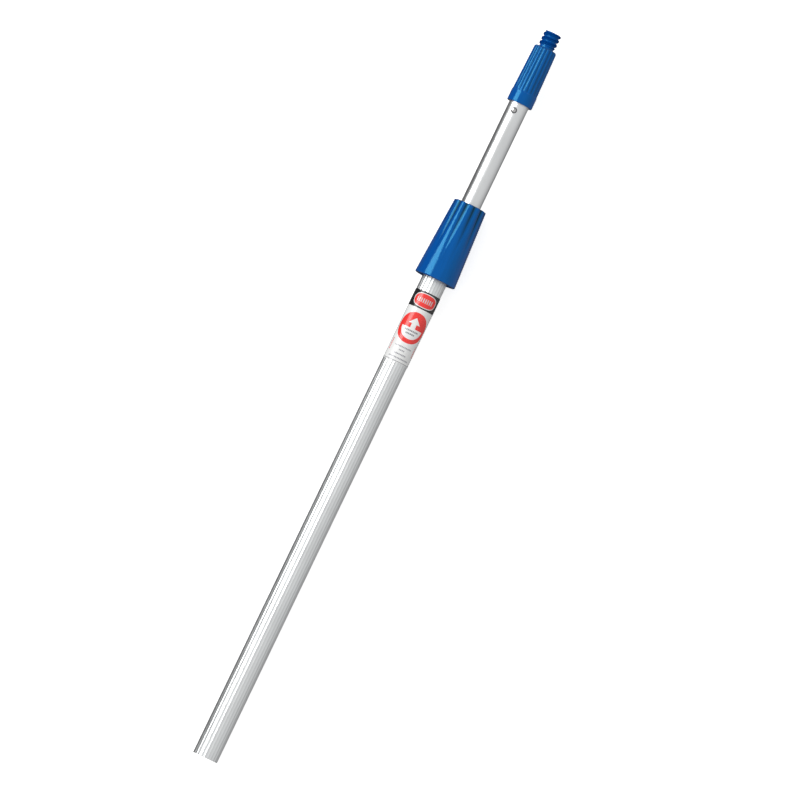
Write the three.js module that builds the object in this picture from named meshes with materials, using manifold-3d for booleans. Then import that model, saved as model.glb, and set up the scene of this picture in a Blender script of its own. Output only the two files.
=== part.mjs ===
// Two-section telescopic pole for window cleaning: a fluted aluminium outer tube, a smooth aluminium
// inner tube, a twist-lock collar that grips it, and a threaded tip held by a spring button.
// Millimetres. The pole lies along X with its butt towards -X and its threaded tip towards +X, and +Z up.
// Positions along the pole ("at") are measured from the butt end. Turn angles are measured about the
// pole's axis, 0 at the top (+Z) and positive towards -Y.
import * as THREE from 'three';
import { mergeVertices } from 'three/addons/utils/BufferGeometryUtils.js';
import Module from 'manifold-3d';

const wasm = await Module();
wasm.setup();

// --- driving dimensions ---------------------------------------------------------------------------
const POLE_LENGTH = 853;
const GAP = 0.3;
const SIDES = 36;

const OUTER_TUBE = { length: 610, radius: 14, bore: 12.5, flutes: 25, fluteDepth: 0.3, turn: -3.65 };
const INNER_TUBE = { length: 635, start: 179, radius: 11.1, bore: 9.9 };

const COLLAR = { start: 561.2, end: 649.1, startRadius: 23.2, endRadius: 18.25 };
const COLLAR_FLUTES = { count: 12, depth: 1.7, fadeStart: 582, turn: 1.7 };
const RIM = 1.2;
const COLLAR_INSIDE = { skirtEnd: 586, skirtRadius: 19.2, threadEnd: 616, threadRadius: 17.9,
  chamberEnd: 642.4, chamberRadius: 15.5, mouthRadius: 11.6 };

const SLEEVE = { start: 574, end: 613, flange: 4, flangeRadius: 18.6, bore: 14.3, mouth: 11.6,
  threadStart: 589, threadEnd: 611, core: 16.4, crest: 17.5, lead: 6 };
const GUIDE = { start: 539, end: 609.5, radius: 12.2, bore: 11.35 };
const COLLET = { start: 613.4, end: 641, startRadius: 14, endRadius: 12.7, bore: 11.4, slots: 6,
  slotWidth: 1.6, slotStart: 618 };
const WEDGE = { start: 619, end: 642, radius: 15.2 };
const RIVET = { at: 583, shank: 1.6, head: 3, headHeight: 0.9, low: 11.6, turns: [-90, 90] };

const LABEL = { start: 464, end: 545.2, inner: 14.12, thickness: 0.2, reach: 168, turn: 3.5 };
const BUTT_PLUG = { length: 25, radius: 12.2, wall: 2.5 };

const TIP = { start: 768.9, bandEnd: 781.9, shoulder: 834.6, radius: 14.3, step: 13.95, topRadius: 12.7,
  shoulderRadius: 11.7, chamfer: 1.6 };
const TIP_FLUTES = { count: 18, depth: 0.75, turn: -2.7 };
const TIP_INSIDE = { spigotStart: 742, spigotRadius: 9.6, socketEnd: 814.5, socketRadius: 11.4,
  cavityEnd: 802, cavityRadius: 8, coreEnd: 846, coreRadius: 4.5 };
const STUD = { end: 853, core: 8.0, crest: 9.5, pitch: 5.08, relief: 2.2, chamfer: 0.8 };

const BUTTON = { at: 759.9, turn: -13.8, radius: 3.175, top: 13.7, domeHeight: 1.7, foot: 3.9,
  footLow: 6, footHigh: 6.7, holeRadius: 3.5 };
const SPRING = { arm: 5.45, back: -6.75, thickness: 0.5, width: 6, start: 748, bendAt: 786 };

const END_PLUG = { start: 155, grooveStart: 161, grooveEnd: 173, shoulderEnd: 178.6, end: 206,
  radius: 9.6, flange: 11.1, groove: 7 };
const GLIDE = { inner: 7.4, outer: 12.2, halfGap: 12 };
const PLUG_PIN = { at: 195, radius: 1.5, length: 21.4, hole: 1.8 };

// --- finishes -------------------------------------------------------------------------------------
const FINISH = {
  aluminium: new THREE.MeshStandardMaterial({ color: '#c9cccd', roughness: 0.38, metalness: 0.9 }),
  polished: new THREE.MeshStandardMaterial({ color: '#d5d8d9', roughness: 0.2, metalness: 0.95 }),
  blue: new THREE.MeshStandardMaterial({ color: '#0a4fa3', roughness: 0.28, metalness: 0 }),
  black: new THREE.MeshStandardMaterial({ color: '#1b1c1e', roughness: 0.55, metalness: 0 }),
  natural: new THREE.MeshStandardMaterial({ color: '#dcdad2', roughness: 0.5, metalness: 0 }),
  steel: new THREE.MeshStandardMaterial({ color: '#b9bcbf', roughness: 0.25, metalness: 1 }),
  paper: new THREE.MeshStandardMaterial({ color: '#f2f2f0', roughness: 0.45, metalness: 0 }),
};

// --- shape helpers --------------------------------------------------------------------------------
const radians = THREE.MathUtils.degToRad;

// A closed mesh as a manifold-3d solid, without the slivers that a clamped helix leaves.
function solid(geometry) {
  const bare = geometry.clone();
  bare.deleteAttribute('normal');
  bare.deleteAttribute('uv');
  const merged = mergeVertices(bare, 1e-4);
  const corners = merged.index.array;
  const kept = [];
  for (let i = 0; i < corners.length; i += 3) {
    const [a, b, c] = [corners[i], corners[i + 1], corners[i + 2]];
    if (a !== b && b !== c && c !== a) kept.push(a, b, c);
  }
  return new wasm.Manifold(new wasm.Mesh({
    numProp: 3,
    vertProperties: merged.attributes.position.array,
    triVerts: new Uint32Array(kept),
  }));
}

function geometryOf(body) {
  const mesh = body.getMesh();
  const geometry = new THREE.BufferGeometry();
  geometry.setAttribute('position', new THREE.BufferAttribute(new Float32Array(mesh.vertProperties), 3));
  geometry.setIndex(new THREE.BufferAttribute(mesh.triVerts, 1));
  const faceted = geometry.toNonIndexed();
  faceted.computeVertexNormals();
  return faceted;
}

function cut(geometry, ...tools) {
  return geometryOf(tools.reduce((body, tool) => body.subtract(solid(tool)), solid(geometry)));
}

function join(geometry, ...others) {
  return geometryOf(others.reduce((body, other) => body.add(solid(other)), solid(geometry)));
}

// A body turned about the pole's axis from its half outline, a list of [at, radius]. Its first corner
// stands at fromTurn, in degrees.
function turned(outline, sides = SIDES, fromTurn = 0) {
  const points = outline.map(([at, radius]) => new THREE.Vector2(radius, at));
  return new THREE.LatheGeometry(points, sides, radians(fromTurn)).rotateZ(-Math.PI / 2);
}

// The same for an outline that closes on itself, such as a tube's wall.
function ring(outline, sides = SIDES, fromTurn = 0) {
  return turned([...outline, outline[0]], sides, fromTurn);
}

function tube(start, end, bore, radius, sides = SIDES, fromTurn = 0) {
  return ring([[start, bore], [start, radius], [end, radius], [end, bore]], sides, fromTurn);
}

// Moves each point in or out: change(at, turn, radius) gives the new radius, turn in radians.
function reshape(geometry, change) {
  const position = geometry.getAttribute('position');
  for (let i = 0; i < position.count; i += 1) {
    const [at, y, z] = [position.getX(i), position.getY(i), position.getZ(i)];
    const radius = Math.hypot(y, z);
    if (radius > GAP) {
      const scale = change(at, Math.atan2(-y, z), radius) / radius;
      position.setXYZ(i, at, y * scale, z * scale);
    }
  }
  return geometry;
}

// Concave flutes: 0 on a narrow rib and 1 in the middle of the round groove between two ribs.
function flute(turn, { count, turn: phase }) {
  return Math.abs(Math.sin((turn - radians(phase)) * count / 2));
}

// Convex lobes: 0 on a broad round rib and 1 in the narrow groove between two ribs.
function lobe(turn, { count, turn: phase }) {
  return 1 - Math.abs(Math.cos((turn - radians(phase)) * count / 2));
}

// A wall that goes part of the way round, extruded along the pole.
function openSleeve(start, end, bore, radius, fromTurn, toTurn, steps) {
  const shape = new THREE.Shape();
  const [from, to] = [radians(fromTurn) + Math.PI, radians(toTurn) + Math.PI];
  shape.absarc(0, 0, radius, from, to, false);
  shape.absarc(0, 0, bore, to, from, true);
  const depth = end - start;
  const wall = new THREE.ExtrudeGeometry(shape, { depth, bevelEnabled: false, curveSegments: steps });
  return wall.rotateY(Math.PI / 2).translate(start, 0, 0);
}

// A screw thread round a solid core: four rows of points to a turn follow the helix, and its ends fade
// out against the plain core.
function threadedRod(start, end, core, crest, lead, sides = SIDES) {
  const turns = Math.ceil((end - start) / lead) + 1;
  const rowsPerTurn = 4;
  const rowPlace = [0, 0.3, 0.5, 0.8];
  const rows = turns * rowsPerTurn;
  const outline = [];
  for (let row = 0; row <= rows; row += 1) outline.push([row, core]);
  const rod = turned([[0, 0], ...outline, [rows, 0]], sides);
  const position = rod.getAttribute('position');
  const perColumn = outline.length + 2;
  const fade = lead / 2;
  for (let i = 0; i < position.count; i += 1) {
    const column = Math.floor(i / perColumn);
    const row = THREE.MathUtils.clamp((i % perColumn) - 1, 0, rows);
    const share = column / sides;
    const alongHelix = (Math.floor(row / rowsPerTurn) + rowPlace[row % rowsPerTurn] + share - 1) * lead;
    const at = THREE.MathUtils.clamp(start + alongHelix, start, end);
    const onAxis = i % perColumn === 0 || i % perColumn === perColumn - 1;
    const height = row % rowsPerTurn >= 2 ? crest - core : 0;
    const fading = THREE.MathUtils.clamp(Math.min(at - start, end - at) / fade, 0, 1);
    const radius = onAxis ? 0 : core + height * fading;
    const turn = share * 2 * Math.PI;
    position.setXYZ(i, at, -radius * Math.sin(turn), radius * Math.cos(turn));
  }
  return rod;
}

// A body whose own +Z is turned to point out of the pole at a place and turn.
function radially(geometry, at, turn) {
  return geometry.rotateX(radians(turn)).translate(at, 0, 0);
}

// A round pin or hole standing out from the pole's axis, from low to high.
function radialPin(radius, low, high, at, turn, sides = 24) {
  const pin = new THREE.CylinderGeometry(radius, radius, high - low, sides);
  return radially(pin.rotateX(Math.PI / 2).translate(0, 0, (low + high) / 2), at, turn);
}

// --- outer section --------------------------------------------------------------------------------
function outerTube() {
  const { length, radius, bore, flutes, fluteDepth, turn } = OUTER_TUBE;
  const wall = tube(0, length, bore, radius, flutes * 6, turn);
  const shape = { count: flutes, turn };
  const fluted = reshape(wall, (at, angle, r) => (r > bore + GAP ? r - fluteDepth * flute(angle, shape) : r));
  const holes = RIVET.turns.map((side) => radialPin(RIVET.shank + GAP, bore - 2, radius + 2, RIVET.at, side));
  return cut(fluted, ...holes);
}

function buttPlug() {
  const { length, radius, wall } = BUTT_PLUG;
  return turned([[0, 0], [0, radius - 0.5], [0.5, radius], [length, radius], [length, radius - wall],
    [wall, radius - wall], [wall, 0]]);
}

function label() {
  const { start, end, inner, thickness, reach, turn } = LABEL;
  return openSleeve(start, end, inner, inner + thickness, turn - reach, turn + reach, 40);
}

function threadSleeve() {
  const { start, end, flange, flangeRadius, bore, mouth } = SLEEVE;
  const { threadStart, threadEnd, core, crest, lead } = SLEEVE;
  const tubeStop = OUTER_TUBE.length + 0.4;
  const outside = turned([[start, 0], [start, flangeRadius - 1], [start + 1, flangeRadius],
    [start + flange, flangeRadius], [start + flange, core], [end, core], [end, 0]]);
  const withThread = join(outside, threadedRod(threadStart, threadEnd, core - GAP, crest, lead, 24));
  const socket = turned([[start - 1, 0], [start - 1, bore], [tubeStop, bore], [tubeStop, 0]]);
  const way = turned([[start, 0], [start, mouth], [end + 1, mouth], [end + 1, 0]]);
  const holes = RIVET.turns.map((side) => radialPin(RIVET.shank + GAP, bore - 2, core + 2, RIVET.at, side));
  return cut(withThread, socket, way, ...holes);
}

function guideSleeve() {
  const { start, end, bore, radius } = GUIDE;
  const holes = RIVET.turns.map((side) => radialPin(RIVET.shank + GAP, bore - 2, radius + 2, RIVET.at, side));
  return cut(tube(start, end, bore, radius, 48), ...holes);
}

function sleeveRivet(turn) {
  const { at, shank, head, headHeight, low } = RIVET;
  const seat = SLEEVE.core + 0.2;
  const top = seat + headHeight;
  const outline = [[0, low], [shank, low], [shank, seat], [head, seat],
    [head * 0.86, seat + headHeight * 0.6], [head * 0.5, top], [0, top]];
  const points = outline.map(([radius, height]) => new THREE.Vector2(radius, height));
  return radially(new THREE.LatheGeometry(points, 20).rotateX(Math.PI / 2), at, turn);
}

function colletRadius(at) {
  const { start, end, startRadius, endRadius } = COLLET;
  return THREE.MathUtils.mapLinear(at, start, end, startRadius, endRadius);
}

// A tapered gripping sleeve, slit from its narrow end so that its fingers close on the inner tube.
function collet() {
  const { start, end, bore, startRadius, endRadius, slots, slotWidth, slotStart } = COLLET;
  const cone = ring([[start, bore], [start, startRadius], [end, endRadius], [end, bore]], 48);
  const slits = [];
  for (let i = 0; i < slots; i += 1) {
    const from = i === 0 ? start - 1 : slotStart;
    const slit = new THREE.BoxGeometry(end + 1 - from, slotWidth, startRadius);
    slit.translate(0, 0, startRadius / 2 + bore / 2);
    slits.push(radially(slit, (from + end + 1) / 2, i * 360 / slots));
  }
  return cut(cone, ...slits);
}

// --- clamp ----------------------------------------------------------------------------------------
function wedgeRing() {
  const { start, end, radius } = WEDGE;
  return ring([[start, colletRadius(start) + GAP], [start, radius], [end, radius],
    [end, colletRadius(end) + GAP]], 48);
}

function collarRadius(at) {
  return THREE.MathUtils.mapLinear(at, COLLAR.start, COLLAR.end, COLLAR.startRadius, COLLAR.endRadius);
}

function lockCollar() {
  const { start, end } = COLLAR;
  const { skirtEnd, skirtRadius, threadEnd, threadRadius } = COLLAR_INSIDE;
  const { chamberEnd, chamberRadius, mouthRadius } = COLLAR_INSIDE;
  const { count, depth, fadeStart, turn } = COLLAR_FLUTES;
  const rows = 5;
  const outline = [[start, COLLAR.startRadius - RIM], [start + RIM / 2, COLLAR.startRadius]];
  for (let row = 0; row <= rows; row += 1) {
    const at = THREE.MathUtils.lerp(fadeStart, end - RIM, row / rows);
    outline.push([at, collarRadius(at)]);
  }
  outline.push([end, COLLAR.endRadius - RIM]);
  outline.push([end, mouthRadius], [chamberEnd, mouthRadius], [chamberEnd, chamberRadius],
    [threadEnd, chamberRadius], [threadEnd, threadRadius], [skirtEnd, threadRadius],
    [skirtEnd, skirtRadius], [start, skirtRadius]);
  const body = ring(outline, count * 6, turn);
  return reshape(body, (at, angle, r) => {
    const isOutside = r > collarRadius(at) - RIM - GAP;
    const fade = THREE.MathUtils.clamp((at - fadeStart) / (end - fadeStart), 0, 1);
    return isOutside ? r - depth * fade * lobe(angle, COLLAR_FLUTES) : r;
  });
}

// --- inner section --------------------------------------------------------------------------------
function innerTube() {
  const { length, start, radius, bore } = INNER_TUBE;
  const buttonHole = radialPin(BUTTON.holeRadius, bore - 3, radius + 2, BUTTON.at, BUTTON.turn);
  const pinHole = radialPin(PLUG_PIN.hole, -radius - 2, radius + 2, PLUG_PIN.at, 90);
  return cut(tube(start, start + length, bore, radius, 48), buttonHole, pinHole);
}

function poleTip() {
  const { start, bandEnd, shoulder, radius, step, topRadius, shoulderRadius, chamfer } = TIP;
  const { spigotStart, spigotRadius, socketEnd, socketRadius } = TIP_INSIDE;
  const { cavityEnd, cavityRadius, coreEnd, coreRadius } = TIP_INSIDE;
  const { end, core, crest, pitch, relief, chamfer: studChamfer } = STUD;
  const { count, depth, turn } = TIP_FLUTES;
  const fluteEnd = shoulder - chamfer;
  const outside = [[start, radius - 0.5], [start + 0.5, radius], [bandEnd - 0.4, radius], [bandEnd, step]];
  outside.push([bandEnd + 2, step - 0.05], [fluteEnd, topRadius]);
  const outline = [[coreEnd, 0], [coreEnd, coreRadius], [cavityEnd, coreRadius], [cavityEnd, cavityRadius],
    [spigotStart, cavityRadius], [spigotStart, spigotRadius], [socketEnd, spigotRadius],
    [socketEnd, socketRadius], [start, socketRadius], ...outside, [shoulder, shoulderRadius],
    [shoulder, core], [end - studChamfer, core], [end, core - studChamfer], [end, 0]];
  const body = reshape(turned(outline, count * 4, turn), (at, angle, r) => {
    const isFluted = at > bandEnd + 1 && at < shoulder - 0.1 && r > socketRadius + 0.2;
    return isFluted ? r - depth * lobe(angle, TIP_FLUTES) : r;
  });
  const thread = threadedRod(shoulder + relief, end, core - studChamfer, crest, pitch);
  const hollow = turned([[shoulder, 0], [shoulder, coreRadius], [coreEnd, coreRadius], [coreEnd, 0]]);
  const { at: buttonAt, turn: buttonTurn, holeRadius } = BUTTON;
  const buttonWay = radialPin(holeRadius, cavityRadius - 3, spigotRadius + 1, buttonAt, buttonTurn);
  return cut(join(body, cut(thread, hollow)), buttonWay);
}

function snapButton() {
  const { at, turn, radius, top, domeHeight, foot, footLow, footHigh } = BUTTON;
  const domeFoot = top - domeHeight;
  const points = [[0, footLow], [foot, footLow], [foot, footHigh], [radius, footHigh], [radius, domeFoot]];
  const domeSteps = 5;
  for (let i = 1; i <= domeSteps; i += 1) {
    const angle = (i / domeSteps) * Math.PI / 2;
    const reach = i === domeSteps ? 0 : radius * Math.cos(angle);
    points.push([reach, domeFoot + domeHeight * Math.sin(angle)]);
  }
  const outline = points.map(([r, height]) => new THREE.Vector2(r, height));
  return radially(new THREE.LatheGeometry(outline, 24).rotateX(Math.PI / 2), at, turn);
}

// A bent strip of spring steel: one arm under the button, a round bend, and an arm along the far wall.
function buttonSpring() {
  const { arm, back, thickness, width, start, bendAt } = SPRING;
  const middle = (arm + back) / 2;
  const outer = (arm - back + thickness) / 2;
  const shape = new THREE.Shape();
  shape.moveTo(start, middle + outer);
  shape.lineTo(bendAt, middle + outer);
  shape.absarc(bendAt, middle, outer, Math.PI / 2, -Math.PI / 2, true);
  shape.lineTo(start, middle - outer);
  shape.lineTo(start, middle - outer + thickness);
  shape.absarc(bendAt, middle, outer - thickness, -Math.PI / 2, Math.PI / 2, false);
  shape.lineTo(start, middle + outer - thickness);
  shape.closePath();
  const strip = new THREE.ExtrudeGeometry(shape, { depth: width, bevelEnabled: false, curveSegments: 12 });
  return radially(strip.translate(0, 0, -width / 2).rotateX(Math.PI / 2), 0, BUTTON.turn);
}

function endPlug() {
  const { start, grooveStart, grooveEnd, shoulderEnd, end, radius, flange, groove: grooveRadius } = END_PLUG;
  const body = turned([[start, 0], [start, flange - 1], [start + 1, flange], [grooveStart, flange],
    [grooveStart, grooveRadius], [grooveEnd, grooveRadius], [grooveEnd, flange], [shoulderEnd, flange],
    [shoulderEnd, radius], [end - 1, radius], [end, radius - 1], [end, 0]]);
  return cut(body, radialPin(PLUG_PIN.hole, -radius - 1, radius + 1, PLUG_PIN.at, 90));
}

function plugPin() {
  return radialPin(PLUG_PIN.radius, -PLUG_PIN.length / 2, PLUG_PIN.length / 2, PLUG_PIN.at, 90, 16);
}

// A split ring that runs in the end plug's groove and slides along the outer tube's bore.
function glideRing() {
  const { inner, outer, halfGap } = GLIDE;
  const start = END_PLUG.grooveStart + GAP;
  const end = END_PLUG.grooveEnd - GAP;
  return openSleeve(start, end, inner, outer, halfGap, 360 - halfGap, 24);
}

// --- assembly -------------------------------------------------------------------------------------
const PIECES = [
  ['outer_tube', outerTube(), FINISH.aluminium],
  ['butt_plug', buttPlug(), FINISH.black],
  ['label', label(), FINISH.paper],
  ['thread_sleeve', threadSleeve(), FINISH.natural],
  ['guide_sleeve', guideSleeve(), FINISH.natural],
  ['sleeve_rivet_left', sleeveRivet(RIVET.turns[0]), FINISH.steel],
  ['sleeve_rivet_right', sleeveRivet(RIVET.turns[1]), FINISH.steel],
  ['collet', collet(), FINISH.natural],
  ['wedge_ring', wedgeRing(), FINISH.natural],
  ['lock_collar', lockCollar(), FINISH.blue],
  ['inner_tube', innerTube(), FINISH.polished],
  ['pole_tip', poleTip(), FINISH.blue],
  ['snap_button', snapButton(), FINISH.steel],
  ['button_spring', buttonSpring(), FINISH.steel],
  ['end_plug', endPlug(), FINISH.black],
  ['plug_pin', plugPin(), FINISH.steel],
  ['glide_ring', glideRing(), FINISH.natural],
];

const pole = new THREE.Group();
pole.position.set(-POLE_LENGTH / 2, 0, COLLAR.startRadius);
for (const [name, geometry, finish] of PIECES) {
  const piece = new THREE.Mesh(geometry, finish);
  piece.name = name;
  pole.add(piece);
}

const part = new THREE.Group();
part.add(pole);
export default part;
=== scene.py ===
import math

import bmesh
import bpy
from mathutils import Matrix, Vector


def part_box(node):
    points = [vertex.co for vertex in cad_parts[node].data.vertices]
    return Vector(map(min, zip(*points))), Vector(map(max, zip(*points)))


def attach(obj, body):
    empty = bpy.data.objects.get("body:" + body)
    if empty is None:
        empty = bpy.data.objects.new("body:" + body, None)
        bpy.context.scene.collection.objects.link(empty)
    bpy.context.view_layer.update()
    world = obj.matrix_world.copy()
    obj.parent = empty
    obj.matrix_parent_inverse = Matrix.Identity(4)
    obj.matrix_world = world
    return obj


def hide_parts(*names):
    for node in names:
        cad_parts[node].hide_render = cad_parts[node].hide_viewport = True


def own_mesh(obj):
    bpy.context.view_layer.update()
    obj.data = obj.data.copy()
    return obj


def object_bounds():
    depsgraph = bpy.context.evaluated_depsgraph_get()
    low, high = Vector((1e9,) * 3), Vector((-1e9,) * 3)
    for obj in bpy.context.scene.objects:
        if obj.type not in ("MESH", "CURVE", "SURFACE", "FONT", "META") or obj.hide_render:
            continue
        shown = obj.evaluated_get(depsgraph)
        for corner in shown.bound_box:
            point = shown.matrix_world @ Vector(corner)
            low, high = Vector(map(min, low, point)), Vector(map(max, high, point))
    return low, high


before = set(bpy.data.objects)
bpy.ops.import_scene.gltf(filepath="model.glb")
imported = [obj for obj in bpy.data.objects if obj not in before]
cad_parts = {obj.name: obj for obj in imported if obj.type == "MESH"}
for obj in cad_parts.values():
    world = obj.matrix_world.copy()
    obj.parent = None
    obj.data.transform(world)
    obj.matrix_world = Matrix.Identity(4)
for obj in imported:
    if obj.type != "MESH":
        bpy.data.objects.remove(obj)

bl_info = {
    "name": "Window Cleaning Pole",
    "version": (1, 0, 0),
    "blender": (4, 5, 0),
    "location": "View3D > Sidebar > Pole",
    "description": "Builds a two-section telescopic window cleaning pole round its packed frame",
    "category": "Add Mesh",
}

# --- places taken from the frame, in metres -------------------------------------------------------
CAD_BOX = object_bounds()
TUBE_LOW, TUBE_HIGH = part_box("outer_tube")
INNER_LOW, INNER_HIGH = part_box("inner_tube")
COLLAR_LOW, COLLAR_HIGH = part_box("lock_collar")
TIP_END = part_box("pole_tip")[1].x
LABEL_LOW, LABEL_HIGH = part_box("label")
AXIS_HEIGHT = (COLLAR_LOW.z + COLLAR_HIGH.z) / 2
BUTT = TUBE_LOW.x
MM = 0.001

# Turns of the patterns round the pole, from its top and positive towards -Y.
FLUTE_TURN = math.radians(-3.65)
COLLAR_TURN = math.radians(1.7)
TIP_TURN = math.radians(-2.7)
LABEL_TURN = math.radians(3.5)
LABEL_REACH = math.radians(168.0)
BUTTON_TURN = math.radians(-13.8)

# Places along the pole, in millimetres from its butt end.
COLLAR_FADE = 582.0
BUTTON_AT = 759.9
PIN_AT = 195.0
TIP_START = 768.9
TIP_BAND_END = 781.9
TIP_RIBS_START = 784.0
TIP_RIBS_END = 833.0
TIP_SHOULDER = 834.6
SPIGOT_START = 742.0
SPRING_START = 748.0
SPRING_BEND = 786.0
BAND_START = 526.2
OBLONG_AT = 535.7
DISC_AT = 504.2
FOOT_LINE = 465.2
SIDE_STROKES_AT = 481.5
SMALL_PRINT = ((481.6, 9.8), (477.7, 3.2), (473.2, 7.1), (468.8, 12.4))

# The picture: the millimetres from the butt end and from the axis at its centre, its width in metres,
# and how far the pole leans right of upright in it.
PICTURE_CENTRE = (430.5, -21.94)
PICTURE_WIDTH = 0.848
PICTURE_LEAN = math.radians(25.68)
CAMERA_DISTANCE = 7.5

# The key light, in degrees, watts and metres, with its centre that far past the middle of the pole,
# and the brightness of the room and the table.
KEY_TURN = math.radians(-52.0)
KEY_POWER = 380.0
KEY_DISTANCE = 6.0
KEY_WIDTH = 4.0
KEY_LENGTH = 5.5
KEY_ALONG = 1.9
ROOM_LOW = 0.1
ROOM_HIGH = 0.74
ROOM_BRIGHT_SIDE = (0.0, -0.55, 0.83)
TABLE_GLOW = 0.6


def along(millimetres):
    """The x of a place that many millimetres from the pole's butt end."""
    return BUTT + millimetres * MM


# --- sizes and colours that a user may change -----------------------------------------------------
def length_property(name, description, default):
    return bpy.props.FloatProperty(
        name=name, description=description, default=default, min=0.0, unit="LENGTH", precision=5
    )


def colour_property(name, description, default):
    return bpy.props.FloatVectorProperty(
        name=name, description=description, default=default, size=3, min=0.0, max=1.0, subtype="COLOR"
    )


class PoleSizes(bpy.types.PropertyGroup):
    """Sizes of the pole's visible shapes"""

    tube_radius: length_property("Outer tube radius", "Radius over the ribs of the outer tube", 14.0 * MM)
    tube_bore: length_property("Outer tube bore", "Radius of the outer tube's bore", 12.5 * MM)
    flute_depth: length_property("Flute depth", "Depth of the outer tube's flutes", 0.3 * MM)
    flutes: bpy.props.IntProperty(name="Flutes", description="Flutes round the outer tube", default=25, min=3)
    inner_radius: length_property("Inner tube radius", "Outside radius of the inner tube", 11.1 * MM)
    inner_bore: length_property("Inner tube bore", "Radius of the inner tube's bore", 9.9 * MM)
    collar_ribs: bpy.props.IntProperty(
        name="Collar ribs", description="Ribs round the collar", default=12, min=3
    )
    collar_groove: length_property("Collar groove", "Depth of the collar's grooves at its mouth", 1.7 * MM)
    tip_ribs: bpy.props.IntProperty(name="Tip ribs", description="Ribs round the tip", default=18, min=3)
    tip_groove: length_property("Tip groove", "Depth of the tip's grooves", 0.75 * MM)
    thread_pitch: length_property("Thread pitch", "Distance from one thread crest to the next", 5.08 * MM)
    thread_crest: length_property("Thread crest", "Radius over the stud's thread", 9.5 * MM)
    thread_core: length_property("Thread core", "Radius at the root of the stud's thread", 8.0 * MM)
    collar_wide: length_property("Collar skirt", "Radius of the collar at its skirt", 23.2 * MM)
    collar_narrow: length_property("Collar mouth", "Radius of the collar at its mouth", 18.25 * MM)


class PoleColours(bpy.types.PropertyGroup):
    """Colours of the pole's finishes"""

    aluminium: colour_property("Aluminium", "Anodised aluminium of the tubes", (0.80, 0.815, 0.82))
    blue: colour_property("Blue", "Moulded plastic of the collar and tip", (0.0005, 0.070, 0.315))
    black: colour_property("Black", "Plugs and the label's dark band", (0.012, 0.012, 0.014))
    natural: colour_property("Natural", "Unfilled plastic of the sliding pieces", (0.74, 0.71, 0.63))
    steel: colour_property("Steel", "Plated steel of the button, pin and rivets", (0.62, 0.62, 0.62))
    red: colour_property("Red", "Printed marks on the label", (0.82, 0.035, 0.03))
    paper: colour_property("Film", "White ground of the label", (0.80, 0.805, 0.80))


# --- modelling helpers ----------------------------------------------------------------------------
def select_only(piece):
    if bpy.context.mode != "OBJECT":
        bpy.ops.object.mode_set(mode="OBJECT")
    bpy.ops.object.select_all(action="DESELECT")
    piece.select_set(True)
    bpy.context.view_layer.objects.active = piece


def name_piece(piece, name):
    piece.name = name
    piece.data.name = name


def settle(piece):
    """Moves the object's place and turn into its mesh."""
    select_only(piece)
    bpy.ops.object.transform_apply(location=True, rotation=True, scale=True)


def apply_modifier(piece, kind, **settings):
    select_only(piece)
    modifier = piece.modifiers.new(kind.title(), kind)
    for key, value in settings.items():
        setattr(modifier, key, value)
    bpy.ops.object.modifier_apply(modifier=modifier.name)


def combine(piece, tool, operation):
    """Joins, cuts or trims a piece with a tool, which is then deleted."""
    apply_modifier(piece, "BOOLEAN", object=tool, operation=operation, solver="EXACT")
    bpy.data.objects.remove(tool, do_unlink=True)


def smooth(piece, degrees=32.0):
    select_only(piece)
    bpy.ops.object.shade_smooth_by_angle(angle=math.radians(degrees))


def turn_of(vertex):
    """How far a point lies round the pole from its top, positive towards -Y."""
    return math.atan2(-vertex.co.y, vertex.co.z - AXIS_HEIGHT)


def radius_of(vertex):
    return math.hypot(vertex.co.y, vertex.co.z - AXIS_HEIGHT)


def fit_ring(piece, at, radius_at):
    """Resizes the selected ring about the axis so that each point stands at radius_at(its turn)."""
    mesh = bmesh.from_edit_mesh(piece.data)
    ring = [vertex for vertex in mesh.verts if vertex.select]
    groups = {}
    for vertex in ring:
        factor = round(radius_at(turn_of(vertex)) / radius_of(vertex), 5)
        if factor != 1.0:
            groups.setdefault(factor, []).append(vertex)
    for factor, members in groups.items():
        bpy.ops.mesh.select_all(action="DESELECT")
        for vertex in members:
            vertex.select = True
        bpy.ops.transform.resize(value=(1.0, factor, factor), center_override=(at, 0.0, AXIS_HEIGHT))
    for vertex in ring:
        vertex.select = True
    mesh.select_flush(True)
    bmesh.update_edit_mesh(piece.data)


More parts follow.
